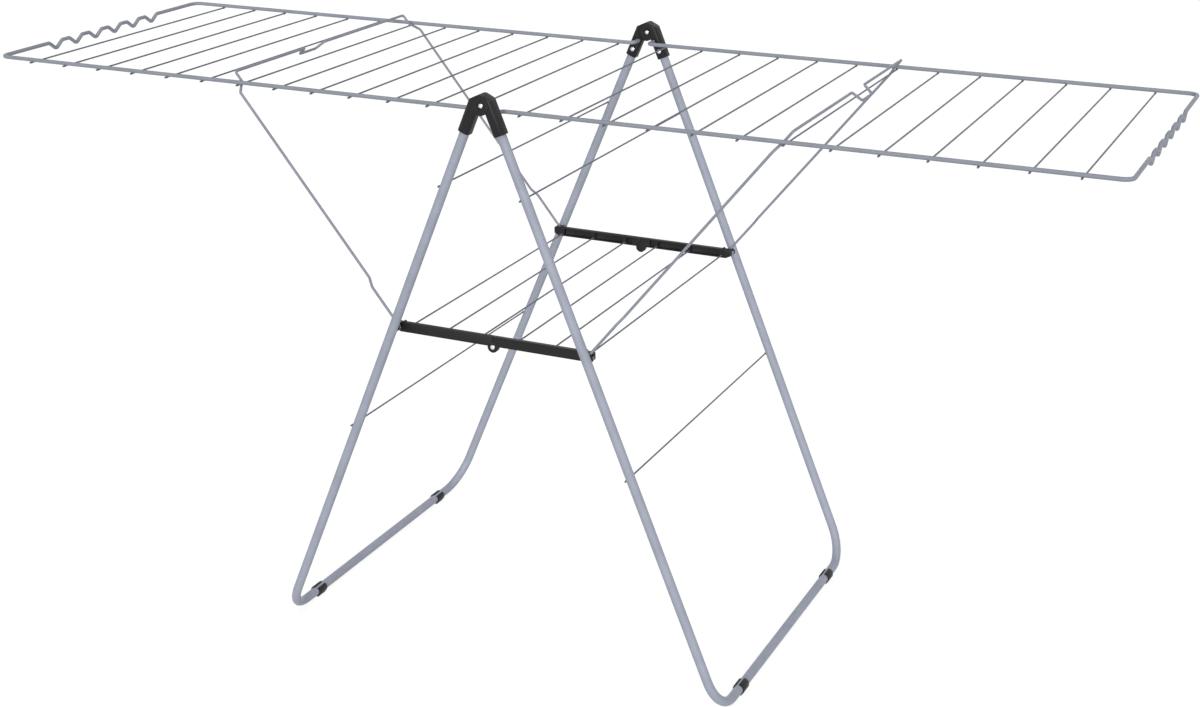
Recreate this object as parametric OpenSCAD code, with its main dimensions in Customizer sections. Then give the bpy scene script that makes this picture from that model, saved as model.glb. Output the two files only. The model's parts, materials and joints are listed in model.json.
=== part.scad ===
// Winged clothes drying rack, open position.
// Millimetres, +Z up, +X from the left wing to the right wing, +Y to the back.
// Origin: centre of the footprint, on the floor.

/* [Leg frames] */
// lean of each leg frame from the vertical, degrees
lean = 22.5; // [15:0.5:30]
// height of the apex rivets above the floor
apex_z = 865; // [700:1:1000]
// distance from the apex rivet to the axis of each leg tube
leg_off = 10.8; // [9:0.1:14]
// distance from the centre plane to the axis of each leg tube
leg_y = 283.5; // [220:0.5:340]
// outer diameter of the leg tube
tube_d = 14; // [12:0.5:18]
// wall thickness of the leg tube
tube_wall = 1; // [0.8:0.1:2]
// centreline radius of the bends at the foot of each frame
foot_bend_r = 45; // [25:1:80]
// drop from the apex rivet to the upper rung, along the leg
rung_up = 140.3; // [120:0.5:180]
// drop from the apex rivet to the lower rung, along the leg
rung_low = 561.3; // [450:0.5:700]
// distance from the outer side of the leg tubes to the ends of a rung
rung_in = 3.5; // [0:0.5:7]

/* [Hinge caps] */
// width of a cap across its tube
cap_w = 18.2; // [17:0.1:24]
// depth of a cap from the front to the back
cap_depth = 19; // [17:0.5:24]
// length of a cap below the apex rivet
cap_low = 47; // [40:0.5:60]
// distance from the apex rivet straight up to the peak of the caps
cap_peak = 17; // [15:0.1:20]
// rounding of the peak of the caps
peak_r = 9; // [4:0.1:10]
// height of the outer shoulder of a cap above the apex rivet, along the leg
cap_shoulder = 0.8; // [0:0.1:6]
// radius of the hinge plate round the apex rivet
plate_r = 13.2; // [12:0.1:13.5]
// corner rounding of the socket of a cap
cap_round = 6; // [2:0.1:8]
// diameter of the apex rivet shank
rivet_d = 4.8; // [4:0.1:6]
// diameter of the apex rivet heads
rivet_head_d = 6.6; // [6:0.1:9]
// diameter of the recesses round the heads of the apex rivets
recess_d = 9.6; // [9:0.1:12]
// depth of the recesses round the heads of the apex rivets
recess_depth = 2.6; // [1.2:0.1:4]
// diameter of the rivet that holds a cap on its tube
cap_rivet_d = 4; // [3:0.1:5]
// drop from the apex rivet to the cap rivet, along the leg
cap_rivet_drop = 35; // [30:0.5:42]
// thickness of the rivet heads
head_t = 1.2; // [0.8:0.1:2]
// thickness of the rim of the rivet heads
head_rim = 0.4; // [0.2:0.1:0.6]

/* [Wings] */
// distance from the centre plane to the end of a wing, axis to axis
wing_x = 862.4; // [600:0.5:1000]
// distance from the centre plane to each rail axis
rail_y = 253.4; // [200:0.5:300]
// drop from the apex rivets to the wing rails
rail_drop = 13.5; // [12:0.1:15]
// diameter of the rail wire
rail_d = 6; // [5:0.5:8]
// centreline radius of the outer corners of a wing
wing_corner_r = 27; // [15:1:50]
// centreline radius of the other bends of the rail wire
rail_bend_r = 6.5; // [4:0.5:12]
// distance of each wing pivot from the centre plane
pivot_x = 13.2; // [11:0.1:16]
// number of drying wires on a wing
wires = 13; // [8:1:16]
// distance from the centre plane to the first drying wire
wire_x0 = 40.3; // [36:0.1:60]
// distance from the last drying wire to the end of a wing
wire_end = 59.6; // [40:0.1:80]
// diameter of the drying wires and rungs
wire_d = 2.5; // [2:0.1:4]
// length of a drying wire past the rail axis
wire_stub = 4; // [3:0.1:10]
// number of hanger notches in the end of a wing
notches = 6; // [2:1:8]
// pitch of the hanger notches
notch_pitch = 49.8; // [30:0.1:60]
// depth of the hanger notches
notch_depth = 11.5; // [5:0.1:20]
// half width of a hanger notch
notch_half = 16; // [8:0.1:20]

/* [Wing supports] */
// height of the pins that carry the supports and the shelf
pin_z = 518; // [400:0.5:700]
// diameter of the support wire
sup_d = 4; // [3:0.1:6]
// angle of the support arms from the horizontal, degrees
arm_angle = 51; // [40:0.1:65]
// length of the support arms from the pin to the crossbar
arm_len = 443; // [350:0.5:500]
// distance from the centre plane to the arms in their lower part
arm_low_y = 270.9; // [260:0.1:272]
// distance from the centre plane to the arms in their main part
arm_y = 263.2; // [255:0.1:275]
// distance from the centre plane to the arms above the rail
arm_top_y = 243.8; // [230:0.1:248]
// distance along an arm at which the lower offset starts
low_jog = 68; // [60:0.5:200]
// length of the lower offset along the arm
low_jog_len = 14; // [8:0.5:30]
// distance along an arm at which the rail shoulder starts
jog_at = 410.3; // [380:0.1:430]
// length of the rail shoulder along the arm
jog_len = 15.5; // [10:0.1:20]
// distance from the centre plane to the middle of the crossbar kink
kink_y = 29.6; // [0:0.1:60]
// width of the crossbar kink at the crossbar
kink_top = 56.2; // [30:0.1:80]
// width of the crossbar kink at its bottom
kink_low = 45.5; // [20:0.1:70]
// depth of the crossbar kink
kink_depth = 17.7; // [8:0.1:25]
// centreline radius of the bends of the support wire
sup_bend_r = 4.5; // [3:0.5:6]
// how far the eyes of a support turn round their pins, degrees
eye_turn = 255; // [200:1:260]
// diameter of the pins
pin_d = 3.8; // [3:0.1:5]
// diameter of the black spacers on the pins
spacer_d = 12; // [8:0.5:14]

/* [Shelf] */
// height of the centreline of the shelf bars
bar_z = 517.7; // [400:0.1:700]
// height of a shelf bar
bar_h = 14.8; // [10:0.1:20]
// thickness of a shelf bar
bar_t = 7; // [5:0.1:10]
// distance from the centre plane to the outer face of the shelf bars
bar_y = 267.8; // [250:0.1:268]
// height of the centre rivets of the shelf
ear_z = 509; // [390:0.1:690]
// radius of the ears round the centre rivets
ear_r = 8.2; // [6:0.1:10]
// diameter of the centre rivets
ear_rivet_d = 4; // [3:0.1:5]
// thickness of the walls of a shelf bar
bar_wall = 2.2; // [1.5:0.1:3]
// length of the solid end of a shelf bar inward of its pin
bar_land = 9; // [7:0.5:11]
// length of a shelf bar past its pin
bar_nose = 3.8; // [3.6:0.1:8]
// thickness of the inner skin of a shelf bar over its blind bores
bar_skin = 1.2; // [0.8:0.1:2]
// length of the slope under the end of a shelf bar
nose_run = 8; // [4:0.1:12]
// height of the slope under the end of a shelf bar
nose_rise = 3.9; // [2:0.1:6]
// size of the bevel over the end of a shelf bar
nose_bevel = 1.5; // [0.5:0.1:3]
// distance from a pin inward to the nub on top of a shelf bar
nub_in = 9.4; // [8:0.1:14]
// radius of the nub on top of a shelf bar
nub_r = 1.9; // [1:0.1:3]
// width of the ribs in a shelf bar that hold the shelf wires
rib_w = 7; // [4:0.5:9]
// distance from a pin inward to the outermost shelf wire
shelf_wire_in = 11.67; // [11:0.01:30]
// pitch of the shelf wires
shelf_pitch = 57.5; // [40:0.1:70]
// drop of the shelf wires below the centreline of the bars
shelf_wire_drop = 3.6; // [0:0.1:5]

/* [Foot clips] */
// distance from the centre plane to the middle of a foot clip
clip_y = 196.4; // [150:0.1:220]
// length of a foot clip
clip_len = 21.5; // [10:0.5:40]
// thickness of a foot clip
clip_t = 2; // [1.5:0.1:4]
// angle of the opening of a foot clip, degrees
clip_gap = 38; // [30:1:120]
// how far the opening of a foot clip is turned inward from straight up, degrees
clip_turn = 15; // [0:1:30]

/* [Fits] */
// running clearance of the pins, on the radius
run_fit = 0.08; // [0.02:0.01:0.1]
// clearance between parts that touch, on the face
seat = 0.05; // [0.02:0.01:0.2]
// side clearance between parts that turn past each other
side_gap = 0.4; // [0.3:0.05:1]
// gap between the two lengths of each right pin, where the loop of joints is open
loop_gap = 0.3; // [0.2:0.05:0.5]

/* [Hidden] */
tube_r = tube_d / 2;
rail_z = apex_z - rail_drop;
rung_half = leg_y + tube_r - rung_in;
foot_z = tube_r + clip_t + seat;
leg_len = (apex_z - foot_z + leg_off * sin(lean)) / cos(lean);
foot_x = leg_len * sin(lean) + leg_off * cos(lean);
leg_in_y = leg_y - tube_r;
cap_in_y = leg_y - cap_depth / 2;
cap_out_y = leg_y + cap_depth / 2;
tube_top = 22;
pivot_lx = rail_drop * sin(lean) - pivot_x * cos(lean);
pivot_lz = -rail_drop * cos(lean) - pivot_x * sin(lean);
relief = plate_r + side_gap;
cap_out = -leg_off - cap_w / 2;
cap_in = -leg_off + cap_w / 2;
up = [-sin(lean), cos(lean)];
peak = cap_peak * up;
eave = [cap_out, cap_shoulder];
roof = (peak - eave) / norm(peak - eave);
dome = peak - peak_r / (roof[0] * up[1] - roof[1] * up[0]) * up;
dome_edge = dome + peak_r * [-roof[1], roof[0]];
recess_y = cap_out_y - recess_depth;
recess_in_y = cap_in_y + recess_depth;
pin_x = foot_x - (pin_z - foot_z) * tan(lean);
shelf_wire_x = pin_x - shelf_wire_in;
shelf_count = 1 + floor((shelf_wire_x - ear_r - wire_d) / shelf_pitch);
eye_r = pin_d / 2 + run_fit + sup_d / 2;
arm_dir = [cos(arm_angle), 0, sin(arm_angle)];
arm_up = [-sin(arm_angle), 0, cos(arm_angle)];
eye_to = -arm_up;
pin_end_y = leg_y - 1.5;
wire_fn = 20;
swell = 0.01;
lap = 0.05;
arm_foot = [pin_x, 0, pin_z] + eye_r * arm_up;
wire_z = rail_z - rail_d / 2 - wire_d / 2 - seat;
wire_pitch = (wing_x - wire_end - wire_x0) / (wires - 1);
bar_in_y = bar_y - bar_t;
bar_mid_y = bar_y - bar_t / 2;
bore_y = bar_in_y + bar_skin;
pin_out_y = leg_y + tube_r - tube_wall - 0.5;
steel = [0.62, 0.65, 0.70];
black = [0.12, 0.12, 0.13];
zinc = [0.80, 0.81, 0.82];

function unit(v) = v / norm(v);
// length that the bend of corner i takes off each side of it, on the path p with bend radii r
function trim_at(p, i, r) =
  (i == 0 || i == len(p) - 1) ? 0
  : r[i] * tan(acos(unit(p[i] - p[i - 1]) * unit(p[i + 1] - p[i])) / 2);

// bend of a round wire that starts along +Z and turns towards +X, a little fuller than the wire
module bend(d, r, angle) {
  translate([r, 0, 0])
    rotate([90, 0, 0])
      rotate([0, 0, 180 - angle])
        rotate_extrude(angle = angle, $fn = 64)
          translate([r, 0])
            circle(d = d + 2 * swell, $fn = wire_fn);
}

// eye at the end of a wire: a bend round a pin, towards the direction eye_to
module eye(x, y) {
  rotate([0, 0, atan2(eye_to * y, eye_to * x)])
    bend(sup_d, eye_r, eye_turn);
}

// rest of a bent wire from corner i of the path p; x and y are the axes of the frame it is drawn in
module wire_from(p, i, x, y, d, r, eyes) {
  u = unit(p[i + 1] - p[i]);
  run = norm(p[i + 1] - p[i]) - trim_at(p, i, r) - trim_at(p, i + 1, r);
  translate([0, 0, -lap])
    cylinder(h = run + 2 * lap, d = d, $fn = wire_fn);
  translate([0, 0, run])
    if (i < len(p) - 2) {
      w = unit(p[i + 2] - p[i + 1]);
      turn = acos(u * w);
      side = unit(w - (w * u) * u);
      rotate([0, 0, atan2(side * y, side * x)]) {
        bend(d, r[i + 1], turn);
        translate([r[i + 1], 0, 0])
          rotate([0, turn, 0])
            translate([-r[i + 1], 0, 0])
              wire_from(p, i + 1, cos(turn) * side - sin(turn) * u, cross(u, side), d, r, eyes);
      }
    } else if (eyes) {
      eye(x, y);
    }
}

// round wire of diameter d along the path p, with a bend radius for each point and eyes or none
module wire(p, d, r, eyes = false) {
  u = unit(p[1] - p[0]);
  tilt = acos(u[2]);
  head = atan2(u[1], u[0]);
  x = [cos(tilt) * cos(head), cos(tilt) * sin(head), -sin(tilt)];
  y = [-sin(head), cos(head), 0];
  translate(p[0])
    rotate([0, tilt, head]) {
      wire_from(p, 0, x, y, d, r, eyes);
      if (eyes) {
        rotate([180, 0, 0])
          eye(x, -y);
      }
    }
}

// round bar along Y between two distances from the centre plane, on the front or the back
module y_rod(x, z, y0, y1, d, side) {
  translate([x, side * y0, z])
    rotate([-90 * side, 0, 0])
      cylinder(h = y1 - y0, d = d, $fn = 32);
}

// puts a frame drawn upright about the apex rivet into its leaning place
module leaning() {
  translate([0, 0, apex_z])
    rotate([0, lean, 0])
      children();
}

// bent tube of one frame, drawn upright about the apex rivet
module leg_tube() {
  difference() {
    u_shape(tube_d, -tube_top);
    u_shape(tube_d - 2 * tube_wall, 1 - tube_top);
    for (side = [-1, 1]) {
      y_rod(-leg_off, -cap_rivet_drop, leg_in_y - 1, leg_y, cap_rivet_d + 2 * seat, side);
      y_rod(-leg_off, (pin_z - apex_z - leg_off * sin(lean)) / cos(lean), leg_in_y - 1, leg_y,
            pin_d + 2 * seat, side);
    }
  }
}

// solid of diameter d along the frame tube, from a height below the apex down and round
module u_shape(d, top) {
  low = foot_bend_r - leg_len;
  straight = leg_y - foot_bend_r;
  for (side = [-1, 1]) {
    translate([-leg_off, side * leg_y, low])
      cylinder(h = top - low, d = d, $fn = 48);
    translate([-leg_off, side * straight, low])
      mirror([0, side < 0 ? 1 : 0, 0])
        rotate([0, 90, 0])
          rotate_extrude(angle = 90, $fn = 96)
            translate([foot_bend_r, 0])
              circle(d = d, $fn = 48);
  }
  translate([-leg_off, straight, -leg_len])
    rotate([90, 0, 0])
      cylinder(h = 2 * straight, d = d, $fn = 48);
}

module left_leg_tube() {
  color(steel) leaning() leg_tube();
}

module right_leg_tube() {
  color(steel) mirror([1, 0, 0]) leaning() leg_tube();
}

// rung welded to the outer (+1) or the inner (-1) face of both legs of a frame
module rung(drop, face) {
  translate([-leg_off - face * (tube_r + wire_d / 2 + seat), rung_half, -drop])
    rotate([90, 0, 0])
      cylinder(h = 2 * rung_half, d = wire_d, $fn = 20);
}

module left_upper_rung() {
  color(steel) leaning() rung(rung_up, 1);
}

module left_lower_rung() {
  color(steel) leaning() rung(rung_low, 1);
}

module right_upper_rung() {
  color(steel) mirror([1, 0, 0]) leaning() rung(rung_up, -1);
}

module right_lower_rung() {
  color(steel) mirror([1, 0, 0]) leaning() rung(rung_low, -1);
}

// side view of the hinge plate that laps the plate of the other frame
module plate_side() {
  circle(r = plate_r, $fn = 96);
  translate(dome)
    circle(r = peak_r, $fn = 96);
  polygon([[-leg_off, 0], eave + (peak - eave) * cap_w / 2 / (peak[0] - cap_out), dome_edge, dome, [0, 0]]);
}

// room for the plate of the other frame as it turns
module relief_side() {
  circle(r = relief, $fn = 96);
  translate(dome)
    circle(r = peak_r + side_gap, $fn = 96);
  polygon([[0, 0], 3 * relief * up, [3 * relief, 3 * relief], [3 * relief, 0]]);
}

// column of a cap over its tube, with rounded edges and a sloping roof
module column(side) {
  corner = [cap_w, cap_depth] / 2 - [cap_round, cap_round];
  intersection() {
    translate([-leg_off, side * leg_y, -cap_low])
      linear_extrude(height = cap_low + cap_peak) {
        for (i = [-1, 1], j = [-1, 1]) {
          translate([i * corner[0], j * corner[1]])
            circle(r = cap_round, $fn = 48);
        }
        square([cap_w - 2 * cap_round, cap_depth], center = true);
        square([cap_w, cap_depth - 2 * cap_round], center = true);
      }
    slab(side, cap_in_y - 1, cap_out_y + 1) {
      translate(dome)
        circle(r = peak_r, $fn = 96);
      polygon([[cap_out - 2, -cap_low - 1], eave - 0.15 * (peak - eave), dome_edge, dome,
               [cap_in + 2, 0], [cap_in + 2, -cap_low - 1]]);
    }
  }
}

// cap drawn upright; plate_out picks which half of the depth carries the hinge plate
module cap(side, plate_out) {
  plate_y0 = plate_out ? leg_y + side_gap / 2 : cap_in_y;
  plate_y1 = plate_out ? cap_out_y : leg_y - side_gap / 2;
  free_y0 = plate_out ? cap_in_y - 1 : leg_y - side_gap / 2;
  free_y1 = plate_out ? leg_y + side_gap / 2 : cap_out_y + 1;
  difference() {
    union() {
      difference() {
        column(side);
        slab(side, free_y0, free_y1) relief_side();
      }
      slab(side, plate_y0, plate_y1) plate_side();
    }
    translate([-leg_off, side * leg_y, -cap_low - 1])
      cylinder(h = cap_low + 1 - tube_top + seat, d = tube_d + 2 * seat, $fn = 48);
    y_rod(0, 0, cap_in_y - 1, cap_out_y + 1, rivet_d + 2 * run_fit, side);
    if (plate_out) {
      y_rod(0, 0, recess_y, cap_out_y + 1, recess_d, side);
    } else {
      y_rod(0, 0, cap_in_y - 1, recess_in_y, recess_d, side);
    }
    y_rod(-leg_off, -cap_rivet_drop, cap_in_y - 1, leg_y, cap_rivet_d + 2 * seat, side);
    y_rod(pivot_lx, pivot_lz, cap_in_y - 1, pin_end_y + 0.5, rail_d + 2 * run_fit, side);
  }
}

// plate of constant depth between two distances from the centre plane
module slab(side, y0, y1) {
  translate([0, side > 0 ? y1 : -y0, 0])
    rotate([90, 0, 0])
      linear_extrude(height = y1 - y0)
        children();
}

module left_front_cap() {
  color(black) leaning() cap(-1, true);
}

module left_back_cap() {
  color(black) leaning() cap(1, true);
}

module right_front_cap() {
  color(black) mirror([1, 0, 0]) leaning() cap(-1, false);
}

module right_back_cap() {
  color(black) mirror([1, 0, 0]) leaning() cap(1, false);
}

// low round rivet head on a face y from the centre plane, turned away from it (+1) or towards it (-1)
module head(x, z, y, out, side) {
  rise = head_t - head_rim;
  ball = (rivet_head_d * rivet_head_d / 4 + rise * rise) / (2 * rise);
  translate([x, side * (y + out * seat), z])
    rotate([-90 * side * out, 0, 0])
      rotate_extrude($fn = 48)
        intersection() {
          translate([0, head_t - ball])
            circle(r = ball, $fn = 96);
          square([rivet_head_d / 2, head_t]);
        }
}

module apex_rivets() {
  color(zinc)
    for (side = [-1, 1]) {
      y_rod(0, apex_z, recess_in_y - head_rim, recess_y + head_rim, rivet_d, side);
      head(0, apex_z, recess_in_y, -1, side);
      head(0, apex_z, recess_y, 1, side);
    }
}

// rivets that hold the caps on the tubes, drawn upright
module cap_rivets() {
  for (side = [-1, 1]) {
    y_rod(-leg_off, -cap_rivet_drop, cap_in_y - head_rim, leg_in_y + tube_wall + 2, cap_rivet_d, side);
    head(-leg_off, -cap_rivet_drop, cap_in_y, -1, side);
  }
}

module left_cap_rivets() {
  color(zinc) leaning() cap_rivets();
}

module right_cap_rivets() {
  color(zinc) mirror([1, 0, 0]) leaning() cap_rivets();
}

// open clip pressed on a base bar from below, flat where it meets the floor
module foot_clip(side) {
  translate([-foot_x, side * clip_y + clip_len / 2, foot_z])
    rotate([90, 0, 0])
      linear_extrude(height = clip_len)
        difference() {
          union() {
            circle(d = tube_d + 2 * clip_t, $fn = 64);
            translate([-tube_r * 0.7, -foot_z])
              square([tube_d * 0.7, tube_r]);
          }
          circle(d = tube_d + 2 * seat, $fn = 64);
          rotate(-clip_turn)
            polygon([[0, 0], 3 * tube_d * [-sin(clip_gap / 2), cos(clip_gap / 2)],
                     3 * tube_d * [sin(clip_gap / 2), cos(clip_gap / 2)]]);
        }
}

module left_foot_clips() {
  color(black) {
    foot_clip(-1);
    foot_clip(1);
  }
}

module right_foot_clips() {
  color(black) mirror([1, 0, 0]) {
    foot_clip(-1);
    foot_clip(1);
  }
}

// lengths of the pins that carry the supports and the shelf, between two distances from the centre plane
module pins(y0, y1) {
  for (side = [-1, 1]) {
    y_rod(-pin_x, pin_z, y0, y1, pin_d, side);
  }
}

module left_pins() {
  color(zinc) pins(bore_y + side_gap, pin_out_y);
}

module right_pins() {
  color(zinc) mirror([1, 0, 0]) pins(bar_y + loop_gap, pin_out_y);
}

module right_pin_ends() {
  color(zinc) mirror([1, 0, 0]) pins(bore_y + side_gap, bar_y);
}

module spacers() {
  for (side = [-1, 1]) {
    difference() {
      y_rod(-pin_x, pin_z, arm_low_y + sup_d / 2 + 0.3, leg_in_y - seat, spacer_d, side);
      y_rod(-pin_x, pin_z, arm_low_y, leg_y, pin_d + 2 * seat, side);
    }
  }
}

module left_spacers() {
  color(black) spacers();
}

module right_spacers() {
  color(black) mirror([1, 0, 0]) spacers();
}

// corner points of a wing loop, from the front pivot pin round to the back one
function notch_points(y) = [[-wing_x, y - notch_half, rail_z], [-wing_x, y, rail_z - notch_depth],
                            [-wing_x, y + notch_half, rail_z]];
function loop_points() = concat(
  [[-pivot_x, -pin_end_y, rail_z], [-pivot_x, -rail_y, rail_z], [-wing_x, -rail_y, rail_z]],
  [for (i = [0 : notches - 1]) each notch_points((i - (notches - 1) / 2) * notch_pitch)],
  [[-wing_x, rail_y, rail_z], [-pivot_x, rail_y, rail_z], [-pivot_x, pin_end_y, rail_z]]);

// rail loop of the left wing: pivot pin, rail, notched end, rail, pivot pin
module wing_frame() {
  p = loop_points();
  last = len(p) - 1;
  wire(p, rail_d, [for (i = [0 : last]) i == 2 || i == last - 2 ? wing_corner_r : rail_bend_r]);
}

module wing_wires() {
  for (i = [0 : wires - 1]) {
    translate([-wire_x0 - i * wire_pitch, rail_y + wire_stub, wire_z])
      rotate([90, 0, 0])
        cylinder(h = 2 * (rail_y + wire_stub), d = wire_d, $fn = 16);
  }
}

module left_wing_frame() {
  color(steel) wing_frame();
}

module left_wing_wires() {
  color(steel) wing_wires();
}

module right_wing_frame() {
  color(steel) rotate([0, 0, 180]) wing_frame();
}

module right_wing_wires() {
  color(steel) rotate([0, 0, 180]) wing_wires();
}

// point on a support arm, t along the arm, on the front (-1) or the back (+1)
function arm_at(t, y, side) = arm_foot + t * arm_dir + [0, side * y, 0];
// points of one arm from its eye to the corner of the crossbar
function arm_points(side) = [arm_at(0, arm_low_y, side), arm_at(low_jog, arm_low_y, side),
                             arm_at(low_jog + low_jog_len, arm_y, side), arm_at(jog_at, arm_y, side),
                             arm_at(jog_at + jog_len, arm_top_y, side), arm_at(arm_len, arm_top_y, side)];

// right-hand support, one bent wire with an eye at each foot
module support() {
  kink_out = -kink_depth * arm_up;
  mid = [0, kink_y, 0];
  bar = arm_foot + arm_len * arm_dir;
  kink = [bar + mid - [0, kink_top / 2, 0], bar + mid - [0, kink_low / 2, 0] + kink_out,
          bar + mid + [0, kink_low / 2, 0] + kink_out, bar + mid + [0, kink_top / 2, 0]];
  back = arm_points(1);
  p = concat(arm_points(-1), kink, [for (i = [len(back) - 1 : -1 : 0]) back[i]]);
  wire(p, sup_d, [for (q = p) sup_bend_r], true);
}

module right_support() {
  color(steel) support();
}

module left_support() {
  color(steel) rotate([0, 0, 180]) support();
}

// side view of a left half bar without its ear
module bar_face() {
  low = bar_z - bar_h / 2;
  high = bar_z + bar_h / 2;
  tip = -pin_x - bar_nose;
  polygon([[-side_gap / 2, low], [-side_gap / 2, high], [tip + nose_bevel, high],
           [tip, high - nose_bevel], [tip, low + nose_rise], [tip + nose_run, low]]);
  translate([-pin_x + nub_in, high])
    circle(r = nub_r, $fn = 32);
}

// side view of the hollow of a left half bar, with ribs left where the shelf wires end
module hollow_face() {
  start = -pin_x + bar_land;
  difference() {
    translate([start, bar_z - bar_h / 2 + bar_wall])
      square([-start - 2 * ear_r, bar_h - 2 * bar_wall]);
    for (i = [0 : shelf_count - 1]) {
      translate([-shelf_wire_x + i * shelf_pitch - rib_w / 2, bar_z - bar_h])
        square([rib_w, 2 * bar_h]);
    }
  }
}

// left half bar; the ear sits in the outer half, the inner half is relieved round the rivet
module half_bar(side, ear_out) {
  ear_y0 = ear_out ? bar_mid_y + side_gap / 2 : bar_in_y;
  ear_y1 = ear_out ? bar_y : bar_mid_y - side_gap / 2;
  free_y0 = ear_out ? bar_in_y - 1 : bar_mid_y - side_gap / 2;
  free_y1 = ear_out ? bar_mid_y + side_gap / 2 : bar_y + 1;
  difference() {
    union() {
      difference() {
        slab(side, bar_in_y, bar_y) bar_face();
        slab(side, bar_in_y - 1, bar_y - bar_wall) hollow_face();
        slab(side, free_y0, free_y1)
          translate([0, ear_z])
            circle(r = ear_r + side_gap, $fn = 64);
      }
      slab(side, ear_y0, ear_y1)
        translate([0, ear_z])
          circle(r = ear_r, $fn = 64);
    }
    y_rod(0, ear_z, bore_y, bar_y + 1, ear_rivet_d + 2 * run_fit, side);
    y_rod(-pin_x, pin_z, bore_y, bar_y + 1, pin_d + 2 * run_fit, side);
    for (i = [0 : shelf_count - 1]) {
      y_rod(-shelf_wire_x + i * shelf_pitch, bar_z - shelf_wire_drop, bar_in_y - 1, bar_y - bar_wall,
            wire_d + 2 * seat, side);
    }
  }
}

module left_front_bar() {
  color(black) half_bar(-1, true);
}

module left_back_bar() {
  color(black) half_bar(1, true);
}

module right_front_bar() {
  color(black) mirror([1, 0, 0]) half_bar(-1, false);
}

module right_back_bar() {
  color(black) mirror([1, 0, 0]) half_bar(1, false);
}

module ear_rivets() {
  color(zinc)
    for (side = [-1, 1]) {
      y_rod(0, ear_z, bore_y + side_gap, bar_y + head_rim, ear_rivet_d, side);
      head(0, ear_z, bar_y, 1, side);
    }
}

module shelf_wires() {
  end_y = bar_y - bar_wall - seat;
  for (i = [0 : shelf_count - 1]) {
    translate([-shelf_wire_x + i * shelf_pitch, end_y, bar_z - shelf_wire_drop])
      rotate([90, 0, 0])
        cylinder(h = 2 * end_y, d = wire_d, $fn = 16);
  }
}

module left_shelf_wires() {
  color(steel) shelf_wires();
}

module right_shelf_wires() {
  color(steel) mirror([1, 0, 0]) shelf_wires();
}

left_leg_tube();
left_upper_rung();
left_lower_rung();
left_front_cap();
left_back_cap();
left_cap_rivets();
left_foot_clips();
left_pins();
left_spacers();
apex_rivets();
right_leg_tube();
right_upper_rung();
right_lower_rung();
right_front_cap();
right_back_cap();
right_cap_rivets();
right_foot_clips();
right_pins();
right_spacers();
left_wing_frame();
left_wing_wires();
right_wing_frame();
right_wing_wires();
left_support();
right_support();
left_front_bar();
left_back_bar();
left_shelf_wires();
ear_rivets();
right_front_bar();
right_back_bar();
right_shelf_wires();
right_pin_ends();
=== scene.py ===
# %% [markdown]
# # A winged clothes drying rack
# The rack is bent steel tube and wire, with moulded black plastic caps, bars and feet. Its CAD
# model already holds every size and joint. This lesson gives each piece the surface of its real
# material: whatever follows a bent path is swept again with Geometry Nodes, the mouldings get
# softened edges, and the rivets keep their solids and take a new finish.

import json
import math

import bmesh
import bpy
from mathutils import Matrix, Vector


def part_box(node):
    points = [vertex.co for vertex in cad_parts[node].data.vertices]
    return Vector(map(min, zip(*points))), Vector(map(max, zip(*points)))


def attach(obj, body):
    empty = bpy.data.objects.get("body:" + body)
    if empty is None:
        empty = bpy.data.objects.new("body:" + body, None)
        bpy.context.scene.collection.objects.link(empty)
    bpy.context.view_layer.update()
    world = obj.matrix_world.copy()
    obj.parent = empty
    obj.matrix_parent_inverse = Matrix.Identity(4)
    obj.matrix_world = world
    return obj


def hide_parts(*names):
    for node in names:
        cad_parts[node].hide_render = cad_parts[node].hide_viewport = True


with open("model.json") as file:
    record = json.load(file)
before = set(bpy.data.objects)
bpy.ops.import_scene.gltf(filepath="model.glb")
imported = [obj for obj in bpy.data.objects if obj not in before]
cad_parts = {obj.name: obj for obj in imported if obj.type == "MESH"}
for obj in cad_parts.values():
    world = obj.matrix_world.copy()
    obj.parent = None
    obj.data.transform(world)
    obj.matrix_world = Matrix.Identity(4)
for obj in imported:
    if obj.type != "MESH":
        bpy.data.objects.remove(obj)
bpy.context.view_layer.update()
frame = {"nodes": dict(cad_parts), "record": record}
nodes = frame["nodes"]
mm = 0.001

# %% [markdown]
# ## Colours
# Colours are picked as sRGB hex values, as on a screen, but shaders work in linear light. One
# function turns each value, so that under plain light a piece shows the colour written for it.


# %% Hex colours in linear light
def linear(hex_colour):
    """Linear RGBA of an sRGB value such as "a0b0c0"."""
    parts = [int(hex_colour[i:i + 2], 16) / 255 for i in (0, 2, 4)]
    return [c / 12.92 if c <= 0.04045 else ((c + 0.055) / 1.055) ** 2.4 for c in parts] + [1.0]


print("The grey 808080 is", round(linear("808080")[0], 3), "in linear light")

# %% [markdown]
# ## A helper for nodes
# Materials and Geometry Nodes are both trees of nodes. One small function adds any node, sets it
# up and links it, which keeps every tree below short enough to read.


# %% Add a node
def add(tree, kind, inputs=None, **settings):
    """New node of a tree, with inputs by name or number: a value, or another node's output."""
    node = tree.nodes.new(kind)
    for name, value in settings.items():
        setattr(node, name, value)
    for name, value in (inputs or {}).items():
        if isinstance(value, bpy.types.NodeSocket):
            tree.links.new(value, node.inputs[name])
        else:
            node.inputs[name].default_value = value
    return node


print("Helper for nodes:", add.__name__)

# %% [markdown]
# ## A blank material
# All finishes start alike: a new material with its one shader, and Object coordinates to place
# the patterns. Those count from the object's own origin in metres, so a pattern has its real size,
# stays on its piece when a joint moves, and needs no unwrapping.


# %% Start a material
def started(name):
    """New material, with its tree, its shader and its Object coordinates."""
    material = bpy.data.materials.new(name)
    material.use_nodes = True
    tree = material.node_tree
    place = add(tree, "ShaderNodeTexCoord").outputs["Object"]
    print("Material:", name)
    return material, tree, tree.nodes["Principled BSDF"], place


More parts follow.
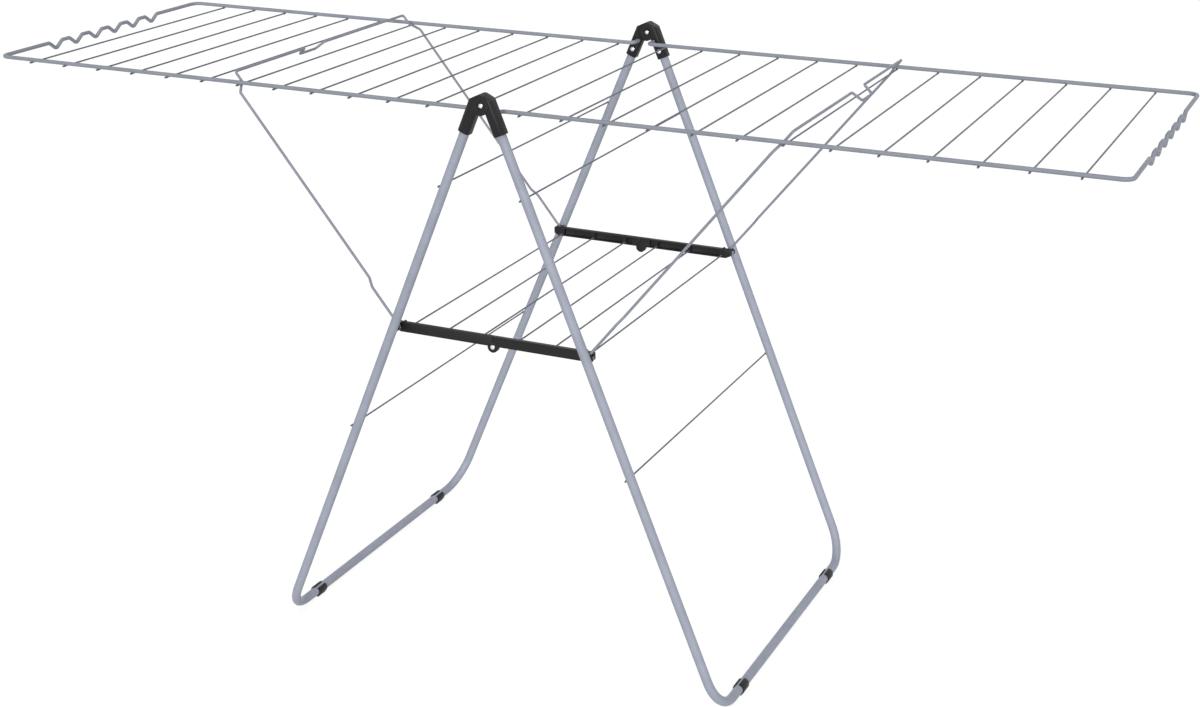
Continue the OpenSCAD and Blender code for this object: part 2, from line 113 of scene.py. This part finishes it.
def surfaced(tree, shader, colour, roughness, bump):
    """Link the three nodes that give a finish its colour, its roughness and its relief."""
    tree.links.new(colour.outputs["Color"], shader.inputs["Base Color"])
    tree.links.new(roughness.outputs["Result"], shader.inputs["Roughness"])
    tree.links.new(bump.outputs["Normal"], shader.inputs["Normal"])


print("Helpers for materials:", started.__name__, "and", surfaced.__name__)

# %% [markdown]
# ## Powder-coated steel
# The legs, rails, supports and thin wires are mild steel under a silver-grey powder coat. Powder
# is sprayed on dry and baked, so it flows into a satin skin with a faint orange peel, and it lies
# a little thinner in places. To the eye that is a soft even grey with a broad dull sheen and
# hardly any mirror image. A car-paint shader with a clear layer would gleam too much, so a plain
# dielectric with a low specular level gives the sheen, a bump gives the peel, and a cloudy change
# of colour shows the thinner coat. Peel is one to two millimetres from crest to crest and the
# coat thins over a few centimetres, and both are drawn at that size. Noise crowds round its
# middle value, so the ramp of colour is squeezed between 0.35 and 0.65 to use both its ends.

# %% Powder coat
peel_size, peel_depth = 1.6 * mm, 0.2 * mm
cloud_size = 35 * mm
coat_roughness, roughness_swing = 0.44, 0.05


def powder_coat(name, thick, thin):
    """Baked powder coat on steel, with its colour where it lies thick and where it lies thin."""
    material, tree, shader, place = started(name)
    cloud = add(tree, "ShaderNodeTexNoise", {"Vector": place, "Scale": 1 / cloud_size,
                                             "Detail": 3.0})
    tint = add(tree, "ShaderNodeValToRGB", {"Fac": cloud.outputs["Fac"]})
    tint.color_ramp.elements[0].position = 0.35
    tint.color_ramp.elements[0].color = linear(thin)
    tint.color_ramp.elements[1].position = 0.65
    tint.color_ramp.elements[1].color = linear(thick)
    peel = add(tree, "ShaderNodeTexNoise", {"Vector": place, "Scale": 1 / peel_size,
                                            "Detail": 2.0})
    gloss = add(tree, "ShaderNodeMapRange", {"Value": peel.outputs["Fac"],
                                             "To Min": coat_roughness - roughness_swing,
                                             "To Max": coat_roughness + roughness_swing})
    bump = add(tree, "ShaderNodeBump", {"Height": peel.outputs["Fac"], "Strength": 0.05,
                                        "Distance": peel_depth})
    surfaced(tree, shader, tint, gloss, bump)
    shader.inputs["Specular IOR Level"].default_value = 0.18
    return material


print("Peel drawn", round(peel_size / mm, 1), "mm from crest to crest")

# %% [markdown]
# The rails and thin wires have the same powder as the tube, but their greys are painted darker.
# This is painted shade: it stands for how thinner stock turns more of its skin away from the light
# and shows little but its shaded sides. So tube, rail and wire each have their own pair of greys,
# and the rail and wire pairs are shaded copies of the tube's.

# %% The three coats
tube_coat = powder_coat("powder_coated_tube", "b4b9c8", "acb1bf")
# rail and wire: the tube's powder, with painted shade darkening their greys
rail_coat_with_painted_shade = powder_coat("powder_coat_rail_painted_darker", "a0a4af", "9a9eaa")
wire_coat_with_painted_shade = powder_coat("powder_coat_wire_painted_darker", "7c8089", "757982")
print("Coats:", tube_coat.name, rail_coat_with_painted_shade.name, wire_coat_with_painted_shade.name)

# %% [markdown]
# ## Moulded black plastic
# Caps, shelf bars, spacers and feet are injection-moulded polypropylene. The steel mould is
# spark-eroded, which leaves a fine even grain, so the plastic looks soft black with a broad dull
# highlight, and places that fingers rub are smoother. Erosion leaves small round craters, and a
# Voronoi pattern makes such rounds. A real crater is about a tenth of a millimetre across, too
# fine to show, so it is drawn nine times as coarse. Rubbed places are a fingertip wide.

# %% Moulded plastic
crater_size, crater_depth = 0.9 * mm, 0.15 * mm
rubbed_size = 18 * mm

plastic, tree, shader, place = started("grained_black_polypropylene")
crater = add(tree, "ShaderNodeTexVoronoi", {"Vector": place, "Scale": 1 / crater_size})
rub = add(tree, "ShaderNodeTexNoise", {"Vector": place, "Scale": 1 / rubbed_size, "Detail": 4.0})
tone = add(tree, "ShaderNodeValToRGB", {"Fac": rub.outputs["Fac"]})
tone.color_ramp.elements[0].position = 0.3
tone.color_ramp.elements[0].color = linear("0f0f10")
tone.color_ramp.elements[1].position = 0.7
tone.color_ramp.elements[1].color = linear("171718")
dull = add(tree, "ShaderNodeMapRange", {"Value": rub.outputs["Fac"], "To Min": 0.42,
                                        "To Max": 0.6})
relief = add(tree, "ShaderNodeBump", {"Height": crater.outputs["Distance"], "Strength": 0.25,
                                      "Distance": crater_depth})
surfaced(tree, shader, tone, dull, relief)
shader.inputs["IOR"].default_value = 1.45
shader.inputs["Specular IOR Level"].default_value = 0.35
print("Craters drawn", round(crater_size / mm, 1), "mm across")

# %% [markdown]
# ## Zinc-plated rivets
# The rivets and pins are steel with bright zinc plate. Heading a rivet scuffs it, so the metal is
# rougher in places, and the plate looks faintly blue. A real scuff is a few tenths of a
# millimetre; it is drawn about four times as coarse so that it shows. One noise drives colour,
# roughness and relief together, because a scuff changes all three at the same spot.

# %% Zinc plate
scuff_size, scuff_depth = 1.2 * mm, 0.1 * mm

zinc, tree, shader, place = started("bright_zinc_plate")
scuff = add(tree, "ShaderNodeTexNoise", {"Vector": place, "Scale": 1 / scuff_size, "Detail": 5.0})
plate = add(tree, "ShaderNodeValToRGB", {"Fac": scuff.outputs["Fac"]})
plate.color_ramp.elements[0].color = linear("c9ccd2")
plate.color_ramp.elements[1].color = linear("eceef0")
shine = add(tree, "ShaderNodeMapRange", {"Value": scuff.outputs["Fac"], "To Min": 0.18,
                                         "To Max": 0.42})
dent = add(tree, "ShaderNodeBump", {"Height": scuff.outputs["Fac"], "Strength": 0.15,
                                    "Distance": scuff_depth})
surfaced(tree, shader, plate, shine, dent)
shader.inputs["Metallic"].default_value = 1.0
print("Scuffs drawn", round(scuff_size / mm, 1), "mm long")

# %% [markdown]
# ## How every tree begins and ends
# Bent tube and rows of wire both follow a rule, so Geometry Nodes make them: a tree is a recipe
# with named inputs, and it can run on any host mesh. Modelling by hand gives the same shapes, but
# a recipe follows every later change of size. All trees begin with the host and end alike: the
# skin is shaded smooth, copies become real mesh, because an export drops instances, and the coat
# is set.


# %% Begin and end a tree
def new_tree(name, **inputs):
    """Tree with named inputs, each given with its kind, and the outputs of its input node."""
    tree = bpy.data.node_groups.new(name, "GeometryNodeTree")
    for label, kind in {"Geometry": "Geometry", **inputs, "Material": "Material"}.items():
        tree.interface.new_socket(label, in_out="INPUT", socket_type="NodeSocket" + kind)
    tree.interface.new_socket("Geometry", in_out="OUTPUT", socket_type="NodeSocketGeometry")
    return tree, add(tree, "NodeGroupInput").outputs


def close_tree(tree, geometry, coat):
    """End of a tree: smooth shading, real copies, and the coat."""
    smooth = add(tree, "GeometryNodeSetShadeSmooth", {"Geometry": geometry})
    real = add(tree, "GeometryNodeRealizeInstances", {"Geometry": smooth.outputs["Geometry"]})
    coated = add(tree, "GeometryNodeSetMaterial", {"Geometry": real.outputs["Geometry"],
                                                   "Material": coat})
    add(tree, "NodeGroupOutput", {"Geometry": coated.outputs["Geometry"]})
    print("Tree:", tree.name, "with", len(tree.nodes), "nodes")


print("Helpers for trees:", new_tree.__name__, "and", close_tree.__name__)

# %% [markdown]
# ## A tree that bends a wire
# A wire bender feeds straight wire and bends it at marked points, each with its own radius. The
# tree does the same: it takes a chain of corner points, rounds each one by the radius stored on
# it, and sweeps a circle along the result. One tree serves the tubes, the rails and the supports.

# %% Bent wire
bend_steps = 10

bent_wire, given = new_tree("bent_wire", Radius="Float", Sides="Int")
chain = add(bent_wire, "GeometryNodeMeshToCurve", {"Mesh": given["Geometry"]})
bend = add(bent_wire, "GeometryNodeInputNamedAttribute", {"Name": "bend"}, data_type="FLOAT")
rounded = add(bent_wire, "GeometryNodeFilletCurve",
              {"Curve": chain.outputs["Curve"], "Count": bend_steps,
               "Radius": bend.outputs["Attribute"]}, mode="POLY")
ring = add(bent_wire, "GeometryNodeCurvePrimitiveCircle",
           {"Resolution": given["Sides"], "Radius": given["Radius"]})
swept = add(bent_wire, "GeometryNodeCurveToMesh",
            {"Curve": rounded.outputs["Curve"], "Profile Curve": ring.outputs["Curve"],
             "Fill Caps": True})
close_tree(bent_wire, swept.outputs["Mesh"], given["Material"])

# %% [markdown]
# ## From a tree to a piece
# A tree runs as a modifier on a host. Its result is copied into a plain mesh and the host goes, so
# the piece holds nothing live that an export could lose. The modifier knows an input by its
# identifier, not by its name, so the identifiers are looked up first.


# %% Run a tree
def linked(name, data):
    """Object of a mesh, lamp or camera, linked to the scene at its origin."""
    thing = bpy.data.objects.new(name, data)
    bpy.context.scene.collection.objects.link(thing)
    return thing


def evaluated(host):
    """Plain mesh of a host with its modifiers applied; the host is removed."""
    graph = bpy.context.evaluated_depsgraph_get()
    mesh = bpy.data.meshes.new_from_object(host.evaluated_get(graph), depsgraph=graph)
    bpy.data.objects.remove(host)
    return mesh


def finished(name, host_mesh, tree, values):
    """Piece made by running a tree on a host mesh with the given input values."""
    host = linked(name + "_host", host_mesh)
    modifier = host.modifiers.new("tree", "NODES")
    modifier.node_group = tree
    for item in tree.interface.items_tree:
        if item.in_out == "INPUT" and item.name in values:
            modifier[item.identifier] = values[item.name]
    mesh = evaluated(host)
    mesh.name = name
    return linked(name, mesh)


print("Helpers for pieces:", linked.__name__, evaluated.__name__, finished.__name__)

# %% [markdown]
# ## A bent piece
# The host of a bent piece is a chain of edges. Each corner point carries the radius of its bend as
# an attribute, which is how a mesh keeps an extra number on a point. The finished piece rides on
# its body and stands in for its CAD solid.


# %% Bend a piece
def chain_mesh(path):
    """Mesh of edges from point to point of a path of (point, bend radius) pairs."""
    mesh = bpy.data.meshes.new("chain")
    mesh.from_pydata([point for point, _ in path], [(i, i + 1) for i in range(len(path) - 1)], [])
    bends = mesh.attributes.new("bend", "FLOAT", "POINT")
    bends.data.foreach_set("value", [radius for _, radius in path])
    return mesh


def bent(name, path, radius, sides, coat, body, cad_node):
    """Bent wire or tube that moves with a body, in place of its CAD solid."""
    piece = finished(name, chain_mesh(path), bent_wire,
                     {"Radius": radius, "Sides": sides, "Material": coat})
    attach(piece, body)
    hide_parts(cad_node)
    print(name, len(piece.data.polygons), "faces")


print("Helpers for bent pieces:", chain_mesh.__name__, "and", bent.__name__)

# %% [markdown]
# ## The two leg frames
# Each frame is one tube, bent twice at the floor, and both turn about the rivets at the apex. It
# is easiest to describe a frame upright, hanging from the apex, and then to lean it. The tube lies
# leg_offset beside the line through the apex and begins tube_top below it, inside its cap. Sizes
# are those of the CAD model, in metres, and heights come from its boxes and joints. The two foot
# bends are the exception: they have the 52 mm of the real rack, where the solids have 45 mm. The
# box of the rack stays the same.

# %% Sizes of a leg frame
tube_r, tube_sides = 7 * mm, 40
lean = math.radians(22.5)
foot_bend = 52 * mm
leg_offset = 10.8 * mm
leg_y = 283.5 * mm
tube_top = 22 * mm

joints = {joint["name"]: joint for joint in frame["record"]["behaviour"]["joints"]}
apex_z = joints["leg_fold"]["pos_m"][2]
base_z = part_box("right_leg_tube")[0].z + tube_r
leg_length = (apex_z - base_z + leg_offset * math.sin(lean)) / math.cos(lean)
print("Leg from the apex line to the base bar:", round(leg_length / mm, 1), "mm")


# %% Leg frames
def leaning(y, z, side):
    """Centre of the tube at y and z of an upright frame, leaned left (-1) or right (+1)."""
    out = -leg_offset * math.cos(lean) + z * math.sin(lean)
    up = z * math.cos(lean) + leg_offset * math.sin(lean)
    return Vector((-side * out, y, apex_z + up))


for side, word in ((-1, "left"), (1, "right")):
    path = [(leaning(-leg_y, -tube_top, side), 0.0),
            (leaning(-leg_y, -leg_length, side), foot_bend),
            (leaning(leg_y, -leg_length, side), foot_bend),
            (leaning(leg_y, -tube_top, side), 0.0)]
    bent(word + "_leg_sweep", path, tube_r, tube_sides, tube_coat, word + "_frame",
         word + "_leg_tube")

# %% [markdown]
# ## The wing rails
# A wing is a loop of 6 mm wire. Its two ends turn outwards as pins, and its far end dips into
# notches that keep coat hangers apart. The path is worked out for the left wing. The right wing is
# the same loop turned half round, so that one bending program and one jig can make both. The outer
# corners have the tight 14 mm of the real rack, where the solids have 27 mm.

# %% Sizes of a wing rail
rail_r, rail_sides = 3 * mm, 24
rail_y = 253.4 * mm
rail_bend, corner_bend = 6.5 * mm, 14 * mm
notch_count, notch_pitch = 6, 49.8 * mm
notch_half, notch_depth = 16 * mm, 11.5 * mm

wing_lo, wing_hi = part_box("left_wing_frame")
rail_z = wing_hi.z - rail_r
wing_x = -(wing_lo.x + rail_r)
pin_y = wing_hi.y
pivot_x = -joints["left_wing_lift"]["pos_m"][0]
print("Rail height", round(rail_z, 4), "and wing reach", round(wing_x, 4))


# %% Wing rails
def notch(y):
    """Corner points of one hanger notch about the distance y."""
    return [(Vector((-wing_x, y - notch_half, rail_z)), rail_bend),
            (Vector((-wing_x, y, rail_z - notch_depth)), rail_bend),
            (Vector((-wing_x, y + notch_half, rail_z)), rail_bend)]


def half_turn(path):
    """Path turned half round about the middle of the rack."""
    return [(Vector((-point.x, -point.y, point.z)), radius) for point, radius in path]


loop = [(Vector((-pivot_x, -pin_y, rail_z)), 0.0),
        (Vector((-pivot_x, -rail_y, rail_z)), rail_bend),
        (Vector((-wing_x, -rail_y, rail_z)), corner_bend)]
for i in range(notch_count):
    loop += notch((i - (notch_count - 1) / 2) * notch_pitch)
loop += [(Vector((-wing_x, rail_y, rail_z)), corner_bend),
         (Vector((-pivot_x, rail_y, rail_z)), rail_bend),
         (Vector((-pivot_x, pin_y, rail_z)), 0.0)]
for word, path in (("left", loop), ("right", half_turn(loop))):
    bent(word + "_rail_sweep", path, rail_r, rail_sides, rail_coat_with_painted_shade, word + "_wing",
         word + "_wing_frame")

# %% [markdown]
# ## The wing supports
# Each support is one length of 4 mm wire: an eye round its pin, an arm that steps inwards past the
# shelf bar, a shoulder that stands under the rail, a crossbar with a kink, and the same back
# again. An arm is laid out by distances along it, because that is how a bender marks its wire: it
# runs low_y from the middle of the rack up to the step, main_y up to the shoulder, and top_y from
# there on. The eye is an arc of short straight steps, since a rounded corner can't turn so far.

# %% Sizes of a support
support_r, support_sides = 2 * mm, 20
support_bend = 4.5 * mm
arm_angle, arm_length = math.radians(51), 443 * mm
eye_r, eye_turn, eye_steps = 3.98 * mm, math.radians(255), 28
low_y, main_y, top_y = 270.9 * mm, 263.2 * mm, 243.8 * mm
step_start, step_end = 68 * mm, 82 * mm
shoulder_start, shoulder_end = 410.3 * mm, 425.8 * mm
kink_y, kink_drop = 29.6 * mm, 17.7 * mm
kink_top_half, kink_low_half = 28.1 * mm, 22.75 * mm

pin_x, _, pin_z = joints["right_prop_swing"]["pos_m"]
pin = Vector((pin_x, 0, pin_z))
along = Vector((math.cos(arm_angle), 0, math.sin(arm_angle)))
across = Vector((-math.sin(arm_angle), 0, math.cos(arm_angle)))
arm_foot = pin + eye_r * across
print("Support pin at", round(pin_x, 4), round(pin_z, 4))


# %% Supports
def arm(side):
    """Eye and arm of the right support, from the open end of the eye to the crossbar."""
    path = []
    for i in range(eye_steps):
        turn = arm_angle + math.pi / 2 + eye_turn * (1 - i / eye_steps)
        path.append((pin + Vector((eye_r * math.cos(turn), side * low_y, eye_r * math.sin(turn))),
                     0.0))
    path.append((arm_foot + Vector((0, side * low_y, 0)), 0.0))
    for distance, y in ((step_start, low_y), (step_end, main_y), (shoulder_start, main_y),
                        (shoulder_end, top_y), (arm_length, top_y)):
        path.append((arm_foot + distance * along + Vector((0, side * y, 0)), support_bend))
    return path


bar = arm_foot + arm_length * along
kink = [(bar + Vector((0, kink_y - kink_top_half, 0)), support_bend),
        (bar - kink_drop * across + Vector((0, kink_y - kink_low_half, 0)), support_bend),
        (bar - kink_drop * across + Vector((0, kink_y + kink_low_half, 0)), support_bend),
        (bar + Vector((0, kink_y + kink_top_half, 0)), support_bend)]
support = arm(-1) + kink + arm(1)[::-1]
for word, path in (("right", support), ("left", half_turn(support))):
    bent(word + "_support_sweep", path, support_r, support_sides, rail_coat_with_painted_shade, word + "_prop",
         word + "_support")

# %% [markdown]
# ## A tree for rows of straight wires
# The drying wires, the rungs and the shelf wires are the same thing: one straight wire, copied.
# The tree makes a wire about the origin, as a thin circle swept along a line, and puts a copy on
# each point of its host. Few sides are enough on wire this thin.

# %% One straight wire
wire_sides = 14

wire_row, given = new_tree("wire_row", Half="Float", Radius="Float", Weld="Float", Welded="Bool")


def off_middle(distance, side):
    """Point of the wire at a distance to one side (-1 or +1) of its middle."""
    reach = add(wire_row, "ShaderNodeMath", {0: distance, 1: side}, operation="MULTIPLY")
    return add(wire_row, "ShaderNodeCombineXYZ", {"Y": reach.outputs[0]}).outputs[0]


line = add(wire_row, "GeometryNodeCurvePrimitiveLine",
           {"Start": off_middle(given["Half"], -1.0), "End": off_middle(given["Half"], 1.0)})
ring = add(wire_row, "GeometryNodeCurvePrimitiveCircle",
           {"Resolution": wire_sides, "Radius": given["Radius"]})
straight = add(wire_row, "GeometryNodeCurveToMesh",
               {"Curve": line.outputs["Curve"], "Profile Curve": ring.outputs["Curve"],
                "Fill Caps": True})
print("Wire of", wire_sides, "sides")

# %% [markdown]
# On the wings and legs each wire is resistance-welded: current melts it into the rail, and a small
# nugget swells where the two cross. A ball drawn out along the wire has that shape. The shelf
# wires aren't welded but sit in the bars, so a switch leaves the nuggets out.

# %% Weld nuggets, and a wire on each point
nugget_swell = (1.35, 2.6, 1.35)

ball = add(wire_row, "GeometryNodeMeshUVSphere",
           {"Segments": 12, "Rings": 8, "Radius": given["Radius"]})
drawn_out = add(wire_row, "GeometryNodeTransform",
                {"Geometry": ball.outputs["Mesh"], "Scale": nugget_swell})
nuggets = add(wire_row, "GeometryNodeJoinGeometry")
for side in (-1.0, 1.0):
    nugget = add(wire_row, "GeometryNodeTransform",
                 {"Geometry": drawn_out.outputs["Geometry"],
                  "Translation": off_middle(given["Weld"], side)})
    wire_row.links.new(nugget.outputs["Geometry"], nuggets.inputs["Geometry"])
welds = add(wire_row, "GeometryNodeSwitch",
            {"Switch": given["Welded"], "True": nuggets.outputs["Geometry"]},
            input_type="GEOMETRY")
whole = add(wire_row, "GeometryNodeJoinGeometry", {"Geometry": straight.outputs["Mesh"]})
wire_row.links.new(welds.outputs[0], whole.inputs["Geometry"])
copies = add(wire_row, "GeometryNodeInstanceOnPoints",
             {"Points": given["Geometry"], "Instance": whole.outputs["Geometry"]})
close_tree(wire_row, copies.outputs["Instances"], given["Material"])

# %% [markdown]
# ## Drying wires, rungs and shelf wires
# Each row lies exactly where its CAD node does: the box of the node gives the first wire, the last
# wire and the half length, and the count divides the space between them evenly.

# %% Straight wires
wire_r = 1.25 * mm
drying_count, rung_count, shelf_count = 13, 1, 3


def row(name, cad_node, count, weld_y, body):
    """Row of wires in place of a CAD node, welded at weld_y to each side, or not where None."""
    lo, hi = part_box(cad_node)
    first, last = lo.x + wire_r, hi.x - wire_r
    step = (last - first) / (count - 1) if count > 1 else 0.0
    centre = (lo.z + hi.z) / 2
    mesh = bpy.data.meshes.new(name)
    mesh.from_pydata([(first + i * step, 0, centre) for i in range(count)], [], [])
    piece = finished(name, mesh, wire_row,
                     {"Half": hi.y, "Radius": wire_r, "Weld": weld_y or 0.0,
                      "Welded": weld_y is not None, "Material": wire_coat_with_painted_shade})
    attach(piece, body)
    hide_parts(cad_node)
    print(name, count, "wires,", round(step / mm, 2), "mm apart")


for word in ("left", "right"):
    row(word + "_drying_wires", word + "_wing_wires", drying_count, rail_y, word + "_wing")
    row(word + "_high_rung_wire", word + "_upper_rung", rung_count, leg_y, word + "_frame")
    row(word + "_low_rung_wire", word + "_lower_rung", rung_count, leg_y, word + "_frame")
    row(word + "_shelf_row", word + "_shelf_wires", shelf_count, None, word + "_shelf")

# %% [markdown]
# ## Whole faces from a CAD solid
# A moulding never has a knife edge: the corners of its tool are rounded by about half a
# millimetre, and the thin bright line along such an edge is what makes plastic read as plastic.
# To round the edges, the faces must be whole first. A CAD solid comes as loose triangles, so a
# copy of it is merged and its flat areas are dissolved into single faces.

# %% Merge a moulding
merge_distance = 0.002 * mm
flat_within = math.radians(1)


def whole_faces(cad_node):
    """Copy of a CAD solid's mesh, merged, with whole flat faces."""
    mesh = nodes[cad_node].data.copy()
    shape = bmesh.new()
    shape.from_mesh(mesh)
    bmesh.ops.remove_doubles(shape, verts=shape.verts, dist=merge_distance)
    bmesh.ops.dissolve_limit(shape, angle_limit=flat_within, verts=shape.verts,
                             edges=shape.edges)
    shape.to_mesh(mesh)
    shape.free()
    return mesh


print("Loose triangles of a cap:", len(nodes["left_front_cap"].data.polygons))

# %% [markdown]
# ## Softened mouldings
# A small bevel on the sharp edges gives the moulded round. Subdivision would soften the whole
# shape and lose its flats, and a bevel keeps them. Curved faces are then shaded smooth, with the
# creases kept sharp.

# %% Softened mouldings
edge_round = 0.5 * mm
bevel_from, crease_from = math.radians(40), math.radians(32)


def softened(cad_node, body):
    """CAD moulding with rounded edges, in place of its solid; returns its number of faces."""
    host = linked(cad_node + "_host", whole_faces(cad_node))
    bevel = host.modifiers.new("edges", "BEVEL")
    bevel.width = edge_round
    bevel.segments = 2
    bevel.limit_method = "ANGLE"
    bevel.angle_limit = bevel_from
    mesh = evaluated(host)
    mesh.materials.clear()
    mesh.materials.append(plastic)
    mesh.shade_smooth()
    mesh.set_sharp_from_angle(angle=crease_from)
    piece = linked(cad_node + "_moulding", mesh)
    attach(piece, body)
    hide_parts(cad_node)
    return len(mesh.polygons)


faces = 0
for word in ("left", "right"):
    for part in ("front_cap", "back_cap", "foot_clips", "spacers"):
        faces += softened(word + "_" + part, word + "_frame")
    for part in ("front_bar", "back_bar"):
        faces += softened(word + "_" + part, word + "_shelf")
print("Mouldings:", faces, "faces")

# %% [markdown]
# ## Rivets and pins
# A rivet's head is turned and then pressed, and its solid already has that shape. So the rivets
# and pins keep their CAD solids and only take the zinc plate.

# %% Rivets
for name in ("apex_rivets", "left_cap_rivets", "right_cap_rivets", "left_pins", "right_pins",
             "right_pin_ends", "ear_rivets"):
    data = nodes[name].data
    data.materials.clear()
    data.materials.append(zinc)
    print(name, "plated")

# %% [markdown]
# ## White to the lens
# The rack stands in a plain white studio. White paper shows white only if it is lit much harder
# than the rack, which would wash the coat out. So the studio cheats: what the lens sees of paper
# and wall, straight or mirrored in the coat, is white already, while the light that both throw on
# the rack stays plain. Light Path tells those rays apart.


# %% White to the lens
def white_to_the_lens(tree, plain, white):
    """Shader that is white to the lens and in reflections, and plain to all other rays."""
    rays = add(tree, "ShaderNodeLightPath").outputs
    mirrored = add(tree, "ShaderNodeMath",
                   {0: rays["Is Glossy Ray"], 1: rays["Is Transmission Ray"]},
                   operation="MAXIMUM")
    seen = add(tree, "ShaderNodeMath", {0: rays["Is Camera Ray"], 1: mirrored.outputs[0]},
               operation="MAXIMUM")
    return add(tree, "ShaderNodeMixShader",
               {0: seen.outputs[0], 1: plain.outputs[0], 2: white.outputs[0]}).outputs[0]


print("Helper for the studio:", white_to_the_lens.__name__)

# %% [markdown]
# ## The floor
# The floor is a wide sheet of matt white paper. Most of its white glows by itself, and the rest is
# really lit, so that the rack's soft shadow still falls on it. To other rays it is a light grey
# paper that throws a little light up at the rack.

# %% Floor
floor_reach = 12.0
lit_part, glow_part = 0.3, 0.85

floor_mesh = bpy.data.meshes.new("studio_floor")
corners = [(-floor_reach, -floor_reach, 0), (floor_reach, -floor_reach, 0),
           (floor_reach, floor_reach, 0), (-floor_reach, floor_reach, 0)]
floor_mesh.from_pydata(corners, [], [(0, 1, 2, 3)])
floor = linked("studio_floor", floor_mesh)
paper = bpy.data.materials.new("white_paper_floor")
paper.use_nodes = True
tree = paper.node_tree
tree.nodes.clear()
plain = add(tree, "ShaderNodeBsdfDiffuse", {"Color": linear("d0d0d0")})
shaded = add(tree, "ShaderNodeBsdfDiffuse", {"Color": (lit_part, lit_part, lit_part, 1)})
glow = add(tree, "ShaderNodeEmission", {"Color": (1, 1, 1, 1), "Strength": glow_part})
white = add(tree, "ShaderNodeAddShader", {0: shaded.outputs[0], 1: glow.outputs[0]})
add(tree, "ShaderNodeOutputMaterial", {"Surface": white_to_the_lens(tree, plain, white)})
floor_mesh.materials.append(paper)
print("Floor reaches", floor_reach, "m each way")

# %% [markdown]
# ## The walls and ceiling
# The world stands for the walls and ceiling of the studio. It is white to the lens, and to the
# rack it is a weak, faintly cool light from all sides, which opens the shadows.

# %% World
sky_strength = 0.27

world = bpy.data.worlds.new("studio_world")
bpy.context.scene.world = world
world.use_nodes = True
tree = world.node_tree
tree.nodes.clear()
sky = add(tree, "ShaderNodeBackground", {"Color": linear("f6f7f9"), "Strength": sky_strength})
wall = add(tree, "ShaderNodeBackground", {"Color": (1, 1, 1, 1), "Strength": 1.0})
add(tree, "ShaderNodeOutputWorld", {"Surface": white_to_the_lens(tree, sky, wall)})
print("World:", world.name, "of strength", sky_strength)

# %% [markdown]
# ## The lamps
# The lamps are broad and far off, so they light both wings evenly, which a near lamp wouldn't. The
# key stands low in front, a little to the left of the camera, and draws one soft streak along each
# tube. A lamp near the ceiling lights the tops of the rails, one from the right opens the dark
# side, and one from behind keeps the back readable. The last one isn't mirrored, because at its
# low angle it would draw hard glints along the base bars.

# %% Lamps
lamp_distance = 4.0


def far_lamp(name, bearing, height, strength, spread, mirrored=True):
    """Broad distant lamp; bearing, from the front to the right, height and spread in degrees."""
    data = bpy.data.lights.new(name, "SUN")
    data.energy = strength
    data.angle = math.radians(spread)
    lamp = linked(name, data)
    turn, rise = math.radians(bearing), math.radians(height)
    lamp.location = lamp_distance * Vector((math.sin(turn) * math.cos(rise),
                                            -math.cos(turn) * math.cos(rise), math.sin(rise)))
    lamp.rotation_euler = (math.pi / 2 - rise, 0, turn)
    lamp.visible_glossy = mirrored
    print("Lamp", name, "of strength", strength)


far_lamp("key", bearing=12, height=10, strength=1.55, spread=14)
far_lamp("top", bearing=20, height=70, strength=0.5, spread=40)
far_lamp("fill", bearing=95, height=25, strength=0.45, spread=40)
far_lamp("back", bearing=200, height=12, strength=1.2, spread=20, mirrored=False)

# %% [markdown]
# ## The camera
# The rack is seen from the front and a little to the right, from above its rails, through a
# slightly long lens that keeps the far wing from shrinking. A small shift of the sensor centres
# the rack; turning the camera for that would change the perspective. Colours pass unchanged with
# the Standard view transform, so a coat shows as it is written.

# %% Camera
tilt, roll, swing = (math.radians(degrees) for degrees in (69.505, 0.12, 25.315))

camera_data = bpy.data.cameras.new("camera")
camera_data.lens = 57.75
camera_data.shift_x = 0.0178
camera = linked("camera", camera_data)
camera.location = (1.2168, -2.5477, 1.4642)
camera.rotation_euler = (tilt, roll, swing)
bpy.context.scene.camera = camera
bpy.context.scene.view_settings.view_transform = "Standard"
print("Camera lens", camera_data.lens, "mm")
